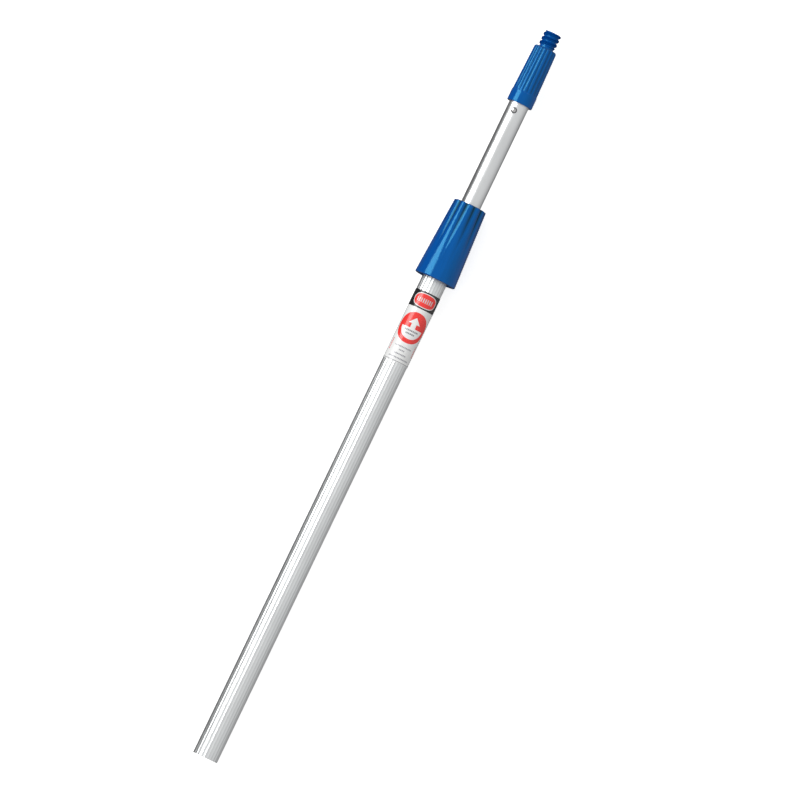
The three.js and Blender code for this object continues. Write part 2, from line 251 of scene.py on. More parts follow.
def turned(name, outline, sides, turn=0.0, closed=False, carve=None, pitch=None):
    """A piece turned about the pole's axis: a ring of edges extruded from point to point of its
    outline, a list of (x, radius). carve(x, radius, turn) gives the radius of a grooved ring, and
    the edges follow a right-hand thread where there is a pitch."""

    def ring_radius(at, radius):
        return (lambda angle: carve(at, radius, angle)) if carve else (lambda angle: radius)

    start, radius = outline[0]
    bpy.ops.object.select_all(action="DESELECT")
    bpy.ops.mesh.primitive_circle_add(vertices=sides, radius=radius)
    piece = bpy.context.object
    name_piece(piece, name)
    upright = Matrix.Rotation(turn, 4, "X") @ Matrix.Rotation(math.pi / 2, 4, "Y")
    piece.matrix_world = Matrix.Translation((start, 0.0, AXIS_HEIGHT)) @ upright
    settle(piece)
    bpy.ops.object.mode_set(mode="EDIT")
    bpy.ops.mesh.select_mode(type="VERT")
    bpy.ops.mesh.select_all(action="SELECT")
    fit_ring(piece, start, ring_radius(start, radius))
    if not closed:
        bpy.ops.mesh.edge_face_add()
    here = start
    for at, radius in outline[1:] + ([outline[0]] if closed else []):
        bpy.ops.mesh.extrude_region_move(TRANSFORM_OT_translate={"value": (at - here, 0.0, 0.0)})
        if pitch:
            winding = -2 * math.pi * (at - here) / pitch
            bpy.ops.transform.rotate(value=winding, orient_axis="X", center_override=(at, 0.0, AXIS_HEIGHT))
        fit_ring(piece, at, ring_radius(at, radius))
        here = at
    if not closed:
        bpy.ops.mesh.edge_face_add()
    finish_mesh(piece)
    return piece


def finish_mesh(piece, distance=1e-6):
    """Merges what meets and turns all faces outwards."""
    select_only(piece)
    bpy.ops.object.mode_set(mode="EDIT")
    bpy.ops.mesh.select_all(action="SELECT")
    bpy.ops.mesh.remove_doubles(threshold=distance)
    bpy.ops.mesh.normals_make_consistent(inside=False)
    bpy.ops.object.mode_set(mode="OBJECT")


def rounded(corner, before, after, radius, steps=4):
    """The points of a quarter bend that rounds a square corner of an outline."""
    corner, before, after = Vector(corner), Vector(before), Vector(after)
    start = corner + (before - corner).normalized() * radius
    end = corner + (after - corner).normalized() * radius
    points = []
    for step in range(steps + 1):
        t = step / steps
        points.append(tuple(start * (1 - t) ** 2 + corner * 2 * t * (1 - t) + end * t ** 2))
    return points


def round_outline(points, radii):
    """An outline with each of its corners rounded by its own radius; 0 keeps the corner."""
    outline = []
    count = len(points)
    for i, radius in enumerate(radii):
        if radius:
            outline += rounded(points[i], points[i - 1], points[(i + 1) % count], radius)
        else:
            outline.append(points[i])
    return outline


def radial_matrix(at, turn, height=0.0):
    """Stands an object's own +Z out from the pole's axis at x, turned round it."""
    up = Matrix.Rotation(turn, 4, "X")
    return Matrix.Translation((at, 0.0, AXIS_HEIGHT)) @ up @ Matrix.Translation((0.0, 0.0, height))


def radial_drill(at, turn, radius, low, high, sides=48):
    """A round cutter that stands out from the axis, from low to high."""
    bpy.ops.mesh.primitive_cylinder_add(vertices=sides, radius=radius, depth=high - low)
    tool = bpy.context.object
    tool.matrix_world = radial_matrix(at, turn, (low + high) / 2)
    settle(tool)
    return tool


# --- shader helpers -------------------------------------------------------------------------------
class Recipe:
    """A material's node tree, built one step at a time."""

    def __init__(self, name, roughness=0.5, metallic=0.0, colour=(0.8, 0.8, 0.8)):
        self.material = bpy.data.materials.new(name)
        self.material.use_nodes = True
        self.tree = self.material.node_tree
        self.shader = self.tree.nodes["Principled BSDF"]
        self.set("Roughness", roughness)
        self.set("Metallic", metallic)
        self.set("Base Color", (*colour, 1.0))
        self.object_place = self.tree.nodes.new("ShaderNodeTexCoord").outputs["Object"]

    def set(self, socket, value):
        self.shader.inputs[socket].default_value = value

    def drive(self, socket, source):
        self.tree.links.new(source, self.shader.inputs[socket])

    def node(self, kind, *sources, **settings):
        """A node whose first inputs are the sources: numbers, colours or other nodes' outputs."""
        made = self.tree.nodes.new(kind)
        for key, value in settings.items():
            setattr(made, key, value)
        for socket, source in zip(made.inputs, sources):
            if source is None:
                continue
            if isinstance(source, bpy.types.NodeSocket):
                self.tree.links.new(source, socket)
            else:
                socket.default_value = source
        return made

    def math(self, operation, *sources, clamp=False):
        return self.node("ShaderNodeMath", *sources, operation=operation, use_clamp=clamp).outputs[0]

    def noise(self, place, scale=1.0, detail=2.0, roughness=0.5):
        made = self.node("ShaderNodeTexNoise", place)
        made.inputs["Scale"].default_value = scale
        made.inputs["Detail"].default_value = detail
        made.inputs["Roughness"].default_value = roughness
        return made.outputs[0]

    def scaled(self, scale):
        """The object's own coordinates, from the pole's axis, scaled along each axis."""
        to_axis = (0.0, 0.0, -AXIS_HEIGHT)
        shift = self.node("ShaderNodeVectorMath", self.object_place, to_axis, operation="ADD")
        return self.node("ShaderNodeVectorMath", shift.outputs[0], scale, operation="MULTIPLY").outputs[0]

    def ramp(self, source, low, high, start=0.0, end=1.0):
        """A number that goes from start to end as the source goes from low to high."""
        made = self.node("ShaderNodeMapRange", source, low, high, start, end, clamp=True)
        return made.outputs[0]

    def blend(self, share, first, second):
        """A colour between two colours."""
        made = self.tree.nodes.new("ShaderNodeMix")
        made.data_type = "RGBA"
        sockets = (made.inputs["Factor"], made.inputs[6], made.inputs[7])
        for socket, source in zip(sockets, (share, first, second)):
            if isinstance(source, bpy.types.NodeSocket):
                self.tree.links.new(source, socket)
            elif socket.type == "RGBA":
                socket.default_value = (*source[:3], 1.0)
            else:
                socket.default_value = source
        return made.outputs[2]

    def bump(self, height, distance, strength=1.0):
        made = self.tree.nodes.new("ShaderNodeBump")
        made.inputs["Strength"].default_value = strength
        made.inputs["Distance"].default_value = distance
        self.tree.links.new(height, made.inputs["Height"])
        self.drive("Normal", made.outputs[0])

    def cylinder_place(self):
        """(x, distance round the axis as an angle, radius) of the shaded point."""
        split = self.node("ShaderNodeSeparateXYZ", self.object_place).outputs
        across = self.math("MULTIPLY", split[1], -1.0)
        up = self.math("SUBTRACT", split[2], AXIS_HEIGHT)
        angle = self.math("ARCTAN2", across, up)
        squares = self.math("ADD", self.math("MULTIPLY", across, across), self.math("MULTIPLY", up, up))
        return split[0], angle, self.math("SQRT", squares)


def tint(colour, factor):
    return tuple(min(1.0, channel * factor) for channel in colour)


# --- finishes -------------------------------------------------------------------------------------
def drawn_aluminium(name, colour, roughness, groove_radius=None):
    """Clear anodised aluminium with fine draw lines along the pole and faint handling marks. It has
    painted shade, a little darker, in grooves that reach down to groove_radius."""
    recipe = Recipe(name, roughness, 1.0, colour)
    lines = recipe.noise(recipe.scaled((6.0, 2600.0, 2600.0)), 1.0, 3.0, 0.6)
    haze = recipe.noise(recipe.scaled((25.0, 60.0, 60.0)), 1.0, 3.0, 0.55)
    marks = recipe.noise(recipe.scaled((90.0, 700.0, 700.0)), 1.0, 2.0, 0.7)
    scuffs = recipe.ramp(marks, 0.66, 0.74, 0.0, 0.14)
    shine = recipe.math("ADD", recipe.ramp(lines, 0.3, 0.7, roughness - 0.05, roughness + 0.06),
                        recipe.ramp(haze, 0.35, 0.7, -0.02, 0.04))
    recipe.drive("Roughness", recipe.math("ADD", shine, scuffs, clamp=True))
    shade = recipe.blend(recipe.ramp(haze, 0.3, 0.7), tint(colour, 0.955), tint(colour, 1.03))
    # painted shade: the flutes' grooves darken towards their bottom
    if groove_radius:
        radius = recipe.cylinder_place()[2]
        depth = recipe.ramp(radius, groove_radius, groove_radius + 0.25 * MM, 0.12, 0.0)
        shade = recipe.blend(depth, shade, tint(colour, 0.72))
    recipe.drive("Base Color", shade)
    recipe.bump(lines, 0.006 * MM)
    return recipe.material


def moulded_blue(name, colour, rims, ends, groove, groove_shade_share):
    """Glossy moulded plastic with a faint mould texture. It is rubbed at its rims, a list of
    (x, reach), and has painted shade in its grooves, up to a share of groove_shade_share, below the
    cone between its two ends, each (x, radius)."""
    recipe = Recipe(name, 0.18, 0.0, colour)
    recipe.set("IOR", 1.63)
    recipe.set("Specular Tint", (0.16, 0.75, 1.0, 1.0))
    cloud = recipe.noise(recipe.scaled((45.0, 45.0, 45.0)), 1.0, 3.0, 0.55)
    skin = recipe.noise(recipe.scaled((900.0, 900.0, 900.0)), 1.0, 2.0, 0.5)
    flow = recipe.noise(recipe.scaled((30.0, 260.0, 260.0)), 1.0, 2.0, 0.5)
    gloss = recipe.math("ADD", recipe.ramp(cloud, 0.3, 0.7, 0.13, 0.18),
                        recipe.ramp(skin, 0.3, 0.7, -0.015, 0.02))
    shade = recipe.blend(recipe.ramp(flow, 0.3, 0.75), tint(colour, 0.93), tint(colour, 1.08))
    at, _, radius = recipe.cylinder_place()
    rib = recipe.ramp(at, ends[0][0], ends[1][0], ends[0][1], ends[1][1])
    # painted shade: the grooves darken towards their bottom, nearly to black, and are rougher there
    groove_shade_by_depth = recipe.ramp(recipe.math("SUBTRACT", rib, radius), groove * 0.2, groove * 0.8, 0.0, groove_shade_share)
    is_outside = recipe.math("GREATER_THAN", radius, recipe.math("SUBTRACT", rib, groove * 1.3))
    groove_shade_mask = recipe.math("MULTIPLY", groove_shade_by_depth, is_outside)
    shade = recipe.blend(groove_shade_mask, shade, tint(colour, 0.08))
    recipe.drive("Roughness", recipe.math("ADD", gloss, recipe.math("MULTIPLY", groove_shade_mask, 0.4)))
    chips = recipe.noise(recipe.scaled((500.0, 500.0, 500.0)), 1.0, 3.0, 0.65)
    for rim, reach in rims:
        away = recipe.math("ABSOLUTE", recipe.math("SUBTRACT", at, rim))
        rubbed = recipe.ramp(away, 0.0, reach, 0.55, 0.0)
        near = recipe.math("MULTIPLY", rubbed, recipe.ramp(chips, 0.42, 0.62))
        shade = recipe.blend(near, shade, tuple(0.75 * channel + 0.05 for channel in colour))
    recipe.drive("Base Color", shade)
    recipe.bump(skin, 0.012 * MM)
    return recipe.material


def plain_plastic(name, colour, roughness, grain):
    """Moulded plastic with an even fine grain."""
    recipe = Recipe(name, roughness, 0.0, colour)
    skin = recipe.noise(recipe.scaled((grain, grain, grain)), 1.0, 3.0, 0.6)
    cloud = recipe.noise(recipe.scaled((70.0, 70.0, 70.0)), 1.0, 2.0, 0.5)
    recipe.drive("Roughness", recipe.ramp(skin, 0.3, 0.7, roughness - 0.06, roughness + 0.08))
    shade = recipe.blend(recipe.ramp(cloud, 0.3, 0.7), tint(colour, 0.9), tint(colour, 1.06))
    recipe.drive("Base Color", shade)
    recipe.bump(skin, 0.02 * MM)
    return recipe.material


def plated_steel(name, colour, roughness, foot_shade_radii=None):
    """Bright plated steel with a fine tumbled grain. Painted shade darkens it inside the first of two
    radii from the pole's axis and has gone at the second."""
    recipe = Recipe(name, roughness, 1.0, colour)
    grain = recipe.noise(recipe.scaled((1400.0, 1400.0, 1400.0)), 1.0, 3.0, 0.6)
    cloud = recipe.noise(recipe.scaled((300.0, 300.0, 300.0)), 1.0, 2.0, 0.5)
    recipe.drive("Roughness", recipe.ramp(grain, 0.3, 0.7, roughness - 0.05, roughness + 0.08))
    shade = recipe.blend(recipe.ramp(cloud, 0.3, 0.7), tint(colour, 0.9), tint(colour, 1.06))
    # painted shade: nearly black within the first radius, fading out by the second
    if foot_shade_radii:
        radius = recipe.cylinder_place()[2]
        shade = recipe.blend(recipe.ramp(radius, *foot_shade_radii, 1.0, 0.0), shade, tint(colour, 0.05))
    recipe.drive("Base Color", shade)
    recipe.bump(grain, 0.004 * MM)
    return recipe.material


class Print:
    """Flat marks printed on a film round the tube: distances in millimetres, x from the butt end and
    sideways round the tube from the label's middle."""

    def __init__(self, recipe, radius, middle):
        self.recipe = recipe
        at, angle, _ = recipe.cylinder_place()
        self.along = recipe.math("DIVIDE", recipe.math("SUBTRACT", at, BUTT), MM)
        self.around = recipe.math("MULTIPLY", recipe.math("SUBTRACT", angle, middle), radius / MM)

    def math(self, operation, *sources):
        return self.recipe.math(operation, *sources)

    def within(self, value, middle, half):
        return self.math("LESS_THAN", self.math("ABSOLUTE", self.math("SUBTRACT", value, middle)), half)

    def both(self, first, second):
        return self.math("MULTIPLY", first, second)

    def either(self, first, second):
        return self.math("MAXIMUM", first, second)

    def bar(self, at, around, half_length, half_width):
        lengthways = self.within(self.along, at, half_length)
        return self.both(lengthways, self.within(self.around, around, half_width))

    def disc(self, at, radius):
        away = self.math("SUBTRACT", self.along, at)
        squares = self.math("ADD", self.math("MULTIPLY", away, away),
                            self.math("MULTIPLY", self.around, self.around))
        return self.math("LESS_THAN", squares, radius * radius)

    def pill(self, at, half_length, half_width, power=2.6):
        """A rounded oblong, squarer than an ellipse."""
        first = self.math("DIVIDE", self.math("ABSOLUTE", self.math("SUBTRACT", self.along, at)), half_length)
        second = self.math("DIVIDE", self.math("ABSOLUTE", self.around), half_width)
        total = self.math("ADD", self.math("POWER", first, power), self.math("POWER", second, power))
        return self.math("LESS_THAN", total, 1.0)

    def arrow(self, base, shoulder, point, shaft_half, head_half):
        """An arrow along the pole: its shaft from base to shoulder, its head from there to its point."""
        shaft = self.both(self.within(self.along, (base + shoulder) / 2, (shoulder - base) / 2),
                          self.within(self.around, 0.0, shaft_half))
        slope = head_half / (point - shoulder)
        room = self.math("MULTIPLY", self.math("SUBTRACT", point, self.along), slope)
        head = self.both(self.math("LESS_THAN", self.math("ABSOLUTE", self.around), room),
                         self.math("GREATER_THAN", self.along, shoulder))
        return self.either(shaft, head)

    def dashes(self, source, pitch, share):
        """Breaks a bar into strokes of a share of each pitch."""
        phase = self.math("FRACT", self.math("DIVIDE", source, pitch))
        return self.math("LESS_THAN", phase, share)


def printed_film(name, colours, radius, middle):
    """A glossy white film with a dark band, a red oblong, a red disc with an arrow, and plain bars
    where small print would be."""
    recipe = Recipe(name, 0.24, 0.0, colours.paper)
    recipe.set("Coat Weight", 0.2)
    recipe.set("Coat Roughness", 0.1)
    marks = Print(recipe, radius, middle)
    white, dark, red = tuple(colours.paper), tuple(colours.black), tuple(colours.red)
    grey = (0.17, 0.17, 0.19)
    cloud = recipe.noise(recipe.scaled((60.0, 60.0, 60.0)), 1.0, 2.0, 0.5)
    shade = recipe.blend(recipe.ramp(cloud, 0.3, 0.7), tint(white, 0.97), tint(white, 1.02))

    def lay(mask, colour):
        nonlocal shade
        shade = recipe.blend(mask, shade, colour)

    lay(marks.math("GREATER_THAN", marks.along, BAND_START), dark)
    lay(marks.pill(OBLONG_AT, 7.9, 13.9), tint(white, 0.98))
    lay(marks.pill(OBLONG_AT, 7.1, 13.1), red)
    blocks = marks.both(marks.bar(OBLONG_AT, 0.0, 2.4, 9.6),
                        marks.dashes(marks.math("ADD", marks.around, 9.6), 2.4, 0.5))
    lay(blocks, tint(white, 0.72))
    lay(marks.disc(DISC_AT, 17.4), red)
    lower = marks.both(marks.disc(DISC_AT, 12.6), marks.math("LESS_THAN", marks.along, DISC_AT - 0.4))
    lay(lower, white)
    lay(marks.arrow(DISC_AT - 1.0, DISC_AT + 4.6, DISC_AT + 11.6, 2.7, 6.6), white)
    for at, half in ((DISC_AT - 3.4, 8.2), (DISC_AT - 6.9, 5.0)):
        lay(marks.both(marks.bar(at, 0.0, 0.85, half), marks.dashes(marks.around, 1.9, 0.72)), grey)
    for at, half in SMALL_PRINT:
        line = marks.bar(at, 0.0, 0.75, half)
        lay(marks.both(line, marks.dashes(marks.around, 1.7, 0.7)), tint(grey, 1.6))
    for side in (-1.0, 1.0):
        stroke = marks.bar(SIDE_STROKES_AT, side * 15.6, 6.8, 0.75)
        lay(marks.both(stroke, marks.dashes(marks.along, 1.9, 0.68)), tint(red, 0.9))
    lay(marks.within(marks.along, FOOT_LINE, 0.3), tint(grey, 1.3))
    recipe.drive("Base Color", shade)
    skin = recipe.noise(recipe.scaled((700.0, 700.0, 700.0)), 1.0, 2.0, 0.5)
    recipe.drive("Roughness", recipe.ramp(skin, 0.3, 0.7, 0.2, 0.3))
    recipe.bump(skin, 0.008 * MM)
    return recipe.material


# --- pieces ---------------------------------------------------------------------------------------
def place_piece(piece, material, body, nodes=()):
    piece.data.materials.clear()
    piece.data.materials.append(material)
    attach(piece, body)
    if nodes:
        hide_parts(*nodes)


def finish_node(name, material):
    """Gives a CAD node that stays as it is a material of its own."""
    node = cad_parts[name]
    node.data.materials.clear()
    node.data.materials.append(material)


def broad_rib(angle, count, phase, softness=0.07):
    """0 on a broad round rib, and 1 in the narrow groove between two ribs."""
    wave = math.cos((angle - phase) * count / 2)
    high = math.hypot(1.0, softness)
    return (high - math.hypot(wave, softness)) / (high - softness)


def thread_share(at, angle, pitch):
    """0 at the root of a right-hand thread, and 1 on its round crest."""
    phase = (at / pitch - angle / (2 * math.pi)) % 1.0
    away = abs(phase - 0.5) * 2
    slope = min(1.0, max(0.0, (away - 0.35) / 0.6))
    return 0.5 + 0.5 * math.cos(math.pi * slope)


def collar_radius(sizes, at):
    share = (at - COLLAR_LOW.x) / (COLLAR_HIGH.x - COLLAR_LOW.x)
    return sizes.collar_wide + share * (sizes.collar_narrow - sizes.collar_wide)


class POLE_OT_outer_tube(bpy.types.Operator):
    """Fluted outer tube, cut square at both ends"""

    bl_idname = "pole.outer_tube"
    bl_label = "Outer Tube"

    def execute(self, context):
        sizes, colours = context.scene.pole_sizes, context.scene.pole_colours
        wall = sizes.tube_radius - sizes.tube_bore
        corners = [(TUBE_LOW.x, sizes.tube_bore), (TUBE_LOW.x, sizes.tube_radius),
                   (TUBE_HIGH.x, sizes.tube_radius), (TUBE_HIGH.x, sizes.tube_bore)]

        def fluted(at, radius, angle):
            share = (radius - sizes.tube_bore) / wall
            groove = abs(math.sin((angle - FLUTE_TURN) * sizes.flutes / 2))
            return radius - share * sizes.flute_depth * groove

        outline = round_outline(corners, [0.25 * MM] * 4)
        piece = turned("fluted_tube", outline, sizes.flutes * 16, FLUTE_TURN, closed=True, carve=fluted)
        smooth(piece, 24.0)
        # the flutes' grooves get painted shade, darker towards their bottom
        groove = sizes.tube_radius - sizes.flute_depth
        material = drawn_aluminium("Fluted aluminium", tuple(colours.aluminium), 0.42, groove)
        place_piece(piece, material, "outer", ["outer_tube"])
        return {"FINISHED"}


class POLE_OT_butt_plug(bpy.types.Operator):
    """Black plug, flush in the butt end of the outer tube"""

    bl_idname = "pole.butt_plug"
    bl_label = "Butt Plug"

    def execute(self, context):
        low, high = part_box("butt_plug")
        radius, wall = (high.y - low.y) / 2, 2.5 * MM
        inside = radius - wall
        outline = [(low.x + wall, 0.5 * MM), (low.x + wall, inside - 0.8 * MM)]
        outline += [(low.x + wall + 0.8 * MM, inside)]
        outline += [(high.x - 0.3 * MM, inside), (high.x, inside + 0.3 * MM)]
        outline += [(high.x, radius - 0.4 * MM), (high.x - 0.4 * MM, radius)]
        outline += [(low.x + 0.6 * MM, radius), (low.x + 0.18 * MM, radius - 0.18 * MM)]
        outline += [(low.x, radius - 0.6 * MM), (low.x, radius * 0.72)]
        outline += [(low.x + 0.5 * MM, radius * 0.66), (low.x + 0.5 * MM, 0.5 * MM)]
        piece = turned("butt_end_plug", outline, 96)
        smooth(piece)
        material = plain_plastic("Black plug", tuple(context.scene.pole_colours.black), 0.45, 900.0)
        place_piece(piece, material, "outer", ["butt_plug"])
        return {"FINISHED"}


class POLE_OT_label(bpy.types.Operator):
    """Printed film wrapped round the upper end of the outer tube"""

    bl_idname = "pole.label"
    bl_label = "Label"

    def execute(self, context):
        sizes, colours = context.scene.pole_sizes, context.scene.pole_colours
        inner, outer = sizes.tube_radius + 0.12 * MM, sizes.tube_radius + 0.3 * MM

        def drawn_in(at, radius, angle):
            return radius - 0.035 * MM * abs(math.sin((angle - FLUTE_TURN) * sizes.flutes / 2))

        outline = [(LABEL_LOW.x, inner), (LABEL_LOW.x, outer), (LABEL_HIGH.x, outer), (LABEL_HIGH.x, inner)]
        piece = turned("printed_label", outline, 360, LABEL_TURN, closed=True, carve=drawn_in)
        select_only(piece)
        bpy.ops.object.mode_set(mode="EDIT")
        bpy.ops.mesh.select_mode(type="FACE")
        bpy.ops.mesh.select_all(action="DESELECT")
        mesh = bmesh.from_edit_mesh(piece.data)
        for face in mesh.faces:
            middle = face.calc_center_median()
            turn = math.atan2(-middle.y, middle.z - AXIS_HEIGHT) - LABEL_TURN
            turn = (turn + math.pi) % (2 * math.pi) - math.pi
            face.select = abs(turn) > LABEL_REACH
        bmesh.update_edit_mesh(piece.data)
        bpy.ops.mesh.delete(type="FACE")
        bpy.ops.mesh.select_all(action="SELECT")
        bpy.ops.mesh.fill_holes(sides=0)
        finish_mesh(piece)
        smooth(piece, 40.0)
        material = printed_film("Label film", colours, outer, LABEL_TURN)
        place_piece(piece, material, "outer", ["label"])
        return {"FINISHED"}


class POLE_OT_lock_collar(bpy.types.Operator):
    """Conical twist collar: broad ribs with grooves that deepen towards its mouth, and a plain skirt"""

    bl_idname = "pole.lock_collar"
    bl_label = "Lock Collar"

    def execute(self, context):
        sizes, colours = context.scene.pole_sizes, context.scene.pole_colours
        start, end = COLLAR_LOW.x, COLLAR_HIGH.x
        fade_start = along(COLLAR_FADE)
        corners = [(start, 19.2 * MM), (start, sizes.collar_wide)]
        radii = [0.4 * MM, 1.5 * MM]
        for row in range(7):
            at = fade_start + (end - 2.5 * MM - fade_start) * row / 6
            corners.append((at, collar_radius(sizes, at)))
            radii.append(0)
        lip_start, wedge_start, thread_start = 642.4, 616.0, 586.0
        mouth, wedge_room, thread_room, skirt_room = 11.6, 15.5, 17.9, 19.2
        inside = [(lip_start, mouth), (lip_start, wedge_room), (wedge_start, wedge_room)]
        inside += [(wedge_start, thread_room), (thread_start, thread_room), (thread_start, skirt_room)]
        corners += [(end, sizes.collar_narrow), (end, mouth * MM)]
        corners += [(along(at), radius * MM) for at, radius in inside]
        radii += [1.3 * MM, 0.6 * MM] + [0] * len(inside)

        def ribbed(at, radius, angle):
            if radius < collar_radius(sizes, at) - 1.6 * MM:
                return radius
            fade = min(1.0, max(0.0, (at - fade_start) / (end - fade_start)))
            return radius - sizes.collar_groove * fade * broad_rib(angle, sizes.collar_ribs, COLLAR_TURN)

        outline = round_outline(corners, radii)
        sides = sizes.collar_ribs * 30
        piece = turned("twist_collar", outline, sides, COLLAR_TURN, closed=True, carve=ribbed)
        smooth(piece, 40.0)
        rims = [(start, 1.6 * MM), (end, 1.4 * MM)]
        ends = [(start, sizes.collar_wide), (end, sizes.collar_narrow)]
        # the last number is the share of painted shade in the collar's grooves
        material = moulded_blue("Blue collar", tuple(colours.blue), rims, ends, sizes.collar_groove, 0.95)
        place_piece(piece, material, "collar", ["lock_collar"])
        return {"FINISHED"}


class POLE_OT_inner_tube(bpy.types.Operator):
    """Smooth inner tube with the button's hole near its upper end"""

    bl_idname = "pole.inner_tube"
    bl_label = "Inner Tube"

    def execute(self, context):
        sizes, colours = context.scene.pole_sizes, context.scene.pole_colours
        bore, radius, edge = sizes.inner_bore, sizes.inner_radius, 0.2 * MM
        start, end = INNER_LOW.x, INNER_HIGH.x
        rows = [along(at) for at in (PIN_AT - 5.0, PIN_AT + 5.0, BUTTON_AT - 5.0, BUTTON_AT + 5.0)]
        corners = [(start, bore), (start, radius)] + [(at, radius) for at in rows]
        corners += [(end, radius), (end, bore)] + [(at, bore) for at in reversed(rows)]
        bends = [edge, edge] + [0] * len(rows)
        piece = turned("smooth_tube", round_outline(corners, bends * 2), 144, closed=True)
        drill = radial_drill(along(BUTTON_AT), BUTTON_TURN, 3.5 * MM, bore - 3 * MM, radius + 2 * MM)
        combine(piece, drill, "DIFFERENCE")
        cross = radial_drill(along(PIN_AT), math.pi / 2, 1.8 * MM, -radius - 2 * MM, radius + 2 * MM, 32)
        combine(piece, cross, "DIFFERENCE")
        smooth(piece, 24.0)
        material = drawn_aluminium("Smooth aluminium", tuple(colours.aluminium), 0.36)
        place_piece(piece, material, "inner", ["inner_tube"])
        return {"FINISHED"}


class POLE_OT_tip(bpy.types.Operator):
    """Ribbed tip with a plain band below its ribs and a threaded stud above its shoulder"""

    bl_idname = "pole.tip"
    bl_label = "Threaded Tip"

    def stud(self, sizes):
        """The stud's rows follow its thread, so each line of edges runs along a crest or a root."""
        start, end = along(TIP_SHOULDER), TIP_END
        core, crest = sizes.thread_core, sizes.thread_crest
        relief, chamfer, step = 2.2 * MM, 0.8 * MM, 0.2 * MM
        hidden_root = 4.0 * MM

        def threaded(at, radius, angle):
            if at <= start:
                return core
            height = (crest - core) * thread_share(at, angle, sizes.thread_pitch)
            run_out = max(0.0, at - start - relief)
            end_cone = crest - core + end - at - chamfer
            return core + min(height, run_out, end_cone)

        rows = int((end - start) / step)
        outline = [(start - hidden_root, core)]
        outline += [(start + (end - start) * row / rows, core) for row in range(rows + 1)]
        return turned("stud", outline, 96, carve=threaded, pitch=sizes.thread_pitch)

    def execute(self, context):
        sizes, colours = context.scene.pole_sizes, context.scene.pole_colours
        shoulder = along(TIP_SHOULDER)
        core_end, cavity_end, socket_end = 828.0, 802.0, 814.5
        inside = [(core_end, 0.4), (core_end, 4.5), (cavity_end, 4.5), (cavity_end, 8.0)]
        inside += [(SPIGOT_START, 8.0), (SPIGOT_START, 9.6), (socket_end, 9.6), (socket_end, 11.4)]
        inside += [(TIP_START, 11.4)]
        outside = [(TIP_START, 14.3), (TIP_BAND_END, 14.3), (TIP_BAND_END + 0.6, 13.95)]
        rows = 10
        for row in range(rows):
            share = row / rows
            at = TIP_RIBS_START + share * (TIP_RIBS_END - TIP_RIBS_START)
            outside.append((at, 13.9 - share * 1.2))
        outside += [(TIP_RIBS_END, 12.7), (TIP_SHOULDER, 11.7), (TIP_SHOULDER, 7.0)]
        corners = [(along(at), radius * MM) for at, radius in inside + outside]
        corners += [(shoulder, 0.4 * MM)]
        radii = [0] * 8 + [0.3 * MM, 0.6 * MM, 0.45 * MM, 0.25 * MM] + [0] * 10 + [0.5 * MM, 0.35 * MM, 0, 0]

        def ribbed(at, radius, angle):
            fade_in = min(1.0, max(0.0, (at - along(782.3)) / (2.0 * MM)))
            fade_out = min(1.0, max(0.0, (shoulder + 0.6 * MM - at) / (2.2 * MM)))
            if at < along(782.3) or radius < 11.5 * MM:
                return radius
            share = fade_in * fade_out
            return radius - sizes.tip_groove * share * broad_rib(angle, sizes.tip_ribs, TIP_TURN, 0.12)

        outline = round_outline(corners, radii)
        piece = turned("threaded_tip", outline, sizes.tip_ribs * 16, TIP_TURN, carve=ribbed)
        combine(piece, self.stud(sizes), "UNION")
        way = radial_drill(along(BUTTON_AT), BUTTON_TURN, 3.5 * MM, 5 * MM, 10.6 * MM)
        combine(piece, way, "DIFFERENCE")
        finish_mesh(piece)
        smooth(piece, 38.0)
        rims = [(along(TIP_START), 0.9 * MM), (along(TIP_BAND_END), 0.5 * MM)]
        rims += [(along(TIP_SHOULDER - 0.8), 1.0 * MM)]
        ends = [(along(TIP_RIBS_START), 13.9 * MM), (along(TIP_RIBS_END), 12.7 * MM)]
        # the last number is the share of painted shade in the tip's grooves
        material = moulded_blue("Blue tip", tuple(colours.blue), rims, ends, sizes.tip_groove, 0.45)
        place_piece(piece, material, "inner", ["pole_tip"])
        return {"FINISHED"}


